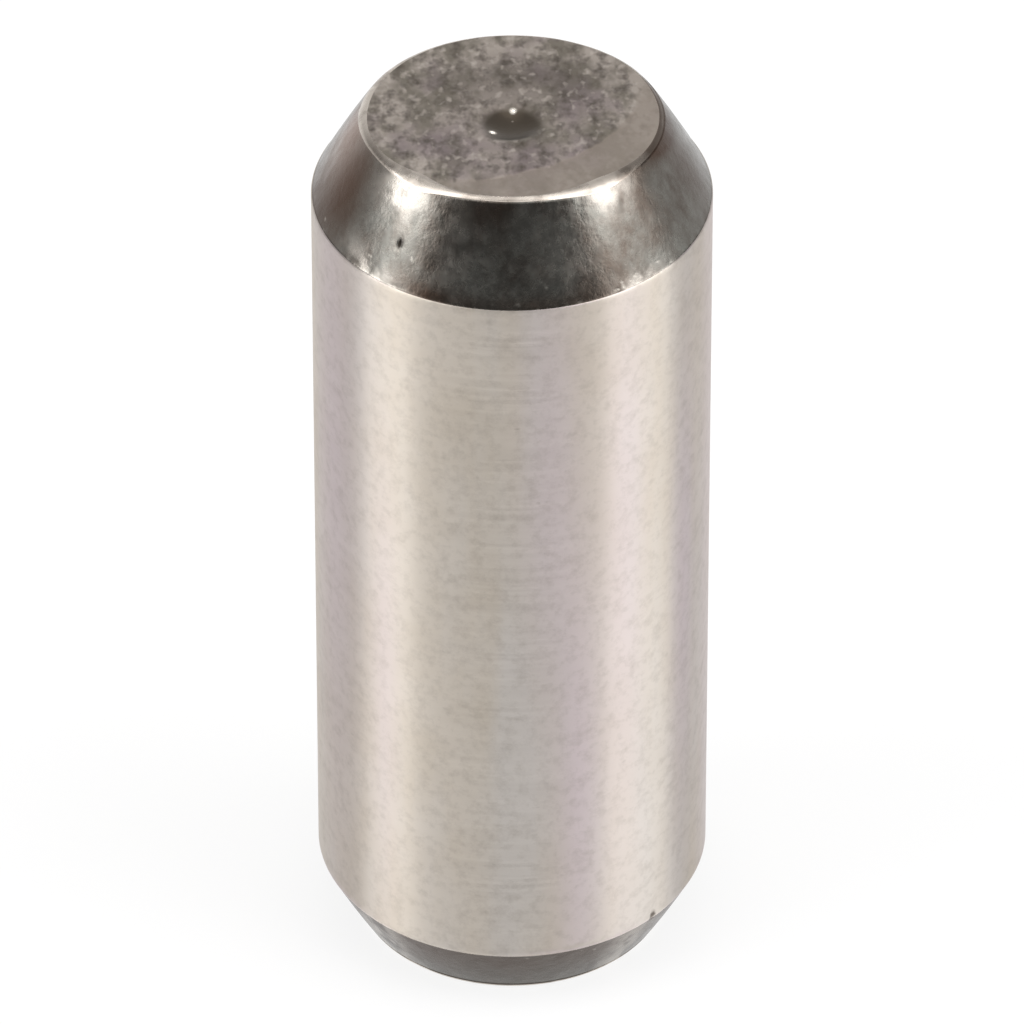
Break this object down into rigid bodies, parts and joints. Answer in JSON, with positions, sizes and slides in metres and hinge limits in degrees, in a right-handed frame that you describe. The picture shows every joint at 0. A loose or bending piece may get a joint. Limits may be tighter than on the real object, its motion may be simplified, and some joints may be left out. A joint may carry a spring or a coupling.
{
  "type": "dowel pin",
  "caption": "Solid cylindrical dowel pin with a ground diameter, a conical lead chamfer on each end and an upper face that is slightly out of square, with a small centre dimple.",
  "frame": {"origin": "centre of the lower end face, on the pin's axis", "axes": "+Z along the pin's axis to the upper end face with the dimple, -Y towards the front in the picture, +X to the right"},
  "size_m": [0.008, 0.008, 0.02],
  "materials": {
    "hardened_steel": "centreless-ground diameter, darker tumbled chamfers, mottled matt end face"
  },
  "bodies": {
    "root": {"dowel_pin": "hardened_steel"}
  },
  "joints": []
}
